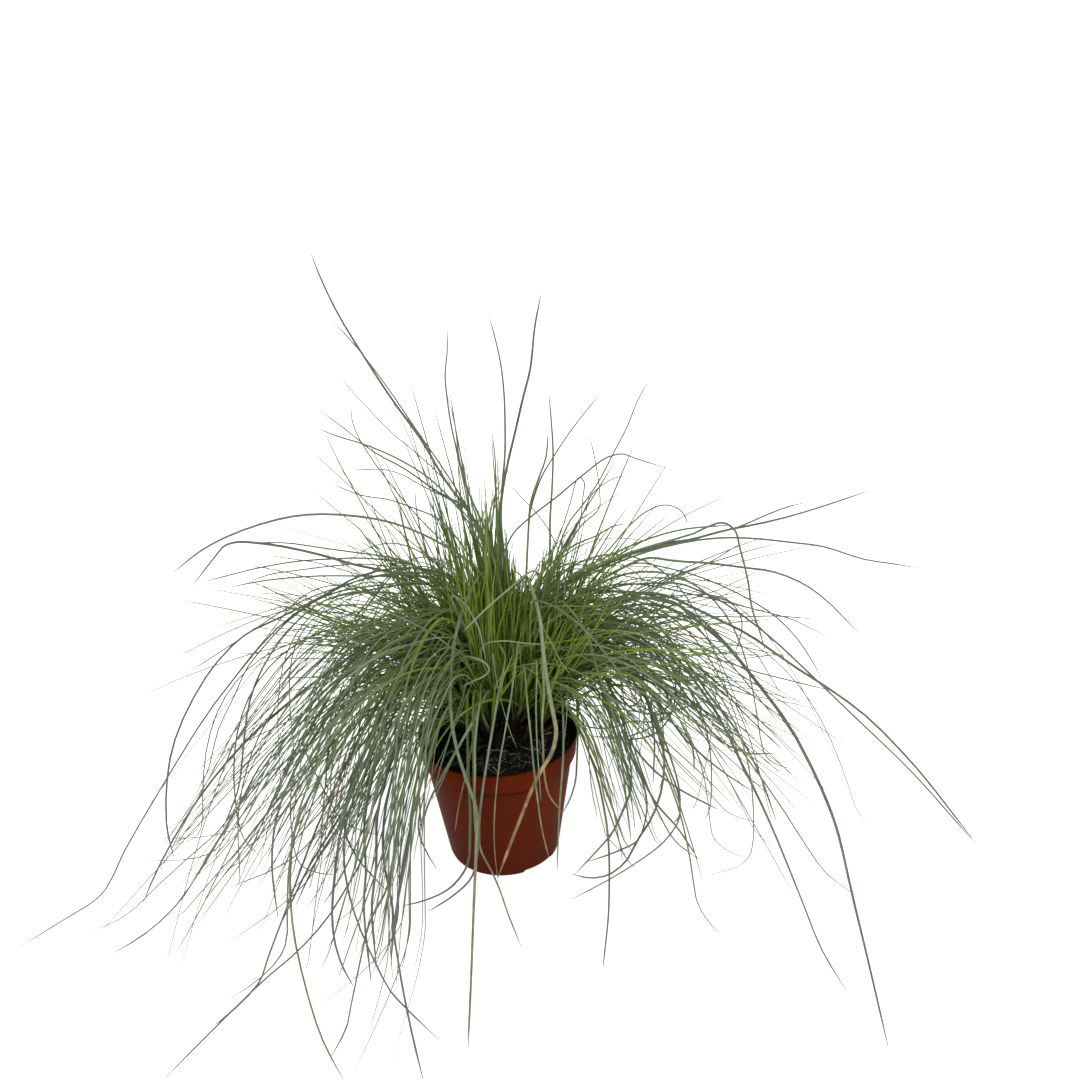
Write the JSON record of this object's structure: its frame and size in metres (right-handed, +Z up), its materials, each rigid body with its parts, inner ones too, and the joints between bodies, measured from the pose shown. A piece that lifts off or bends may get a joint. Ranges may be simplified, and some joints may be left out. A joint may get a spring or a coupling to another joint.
{
  "type": "potted blue fescue clump",
  "caption": "Clump of fine arching fescue grass growing from a crown in compost, in a round tapered plastic nursery pot that stands on a flat foot.",
  "frame": {"origin": "centre of the pot's base, on the surface that it stands on", "axes": "+Z up; -Y towards the side where the clump parts and shows the compost; +X to the right as seen from there"},
  "size_m": [0.6171, 0.4282, 0.392],
  "materials": {
    "pot_plastic": "moulded polypropylene, terracotta brown, low sheen",
    "compost": "moist black peat with fine pale rootlets",
    "old_crown": "dry brown sheath bases and thatch",
    "grass_blade": "fine rolled blades, bright green inside the clump and bluish grey-green outside, low waxy sheen"
  },
  "bodies": {
    "root": {"pot": "pot_plastic", "compost": "compost", "crown": "old_crown", "tiller_01": "grass_blade", "tiller_02": "grass_blade", "tiller_03": "grass_blade", "tiller_04": "grass_blade", "tiller_05": "grass_blade", "tiller_06": "grass_blade", "tiller_07": "grass_blade", "tiller_08": "grass_blade", "tiller_09": "grass_blade", "tiller_10": "grass_blade", "tiller_11": "grass_blade", "tiller_12": "grass_blade", "tiller_13": "grass_blade", "tiller_14": "grass_blade", "tiller_15": "grass_blade", "tiller_16": "grass_blade", "tiller_17": "grass_blade", "tiller_18": "grass_blade", "tiller_19": "grass_blade", "tiller_20": "grass_blade", "tiller_21": "grass_blade", "tiller_22": "grass_blade", "tiller_23": "grass_blade", "tiller_24": "grass_blade", "tiller_25": "grass_blade", "tiller_26": "grass_blade", "tiller_27": "grass_blade", "tiller_28": "grass_blade", "tiller_29": "grass_blade", "tiller_30": "grass_blade", "tiller_31": "grass_blade", "tiller_32": "grass_blade", "tiller_33": "grass_blade", "tiller_34": "grass_blade", "tiller_35": "grass_blade", "tiller_36": "grass_blade", "tiller_37": "grass_blade", "tiller_38": "grass_blade", "tiller_39": "grass_blade", "tiller_40": "grass_blade", "tiller_41": "grass_blade", "tiller_42": "grass_blade", "tiller_43": "grass_blade", "tiller_44": "grass_blade", "tiller_45": "grass_blade", "tiller_46": "grass_blade", "tiller_47": "grass_blade", "tiller_48": "grass_blade"}
  },
  "joints": []
}
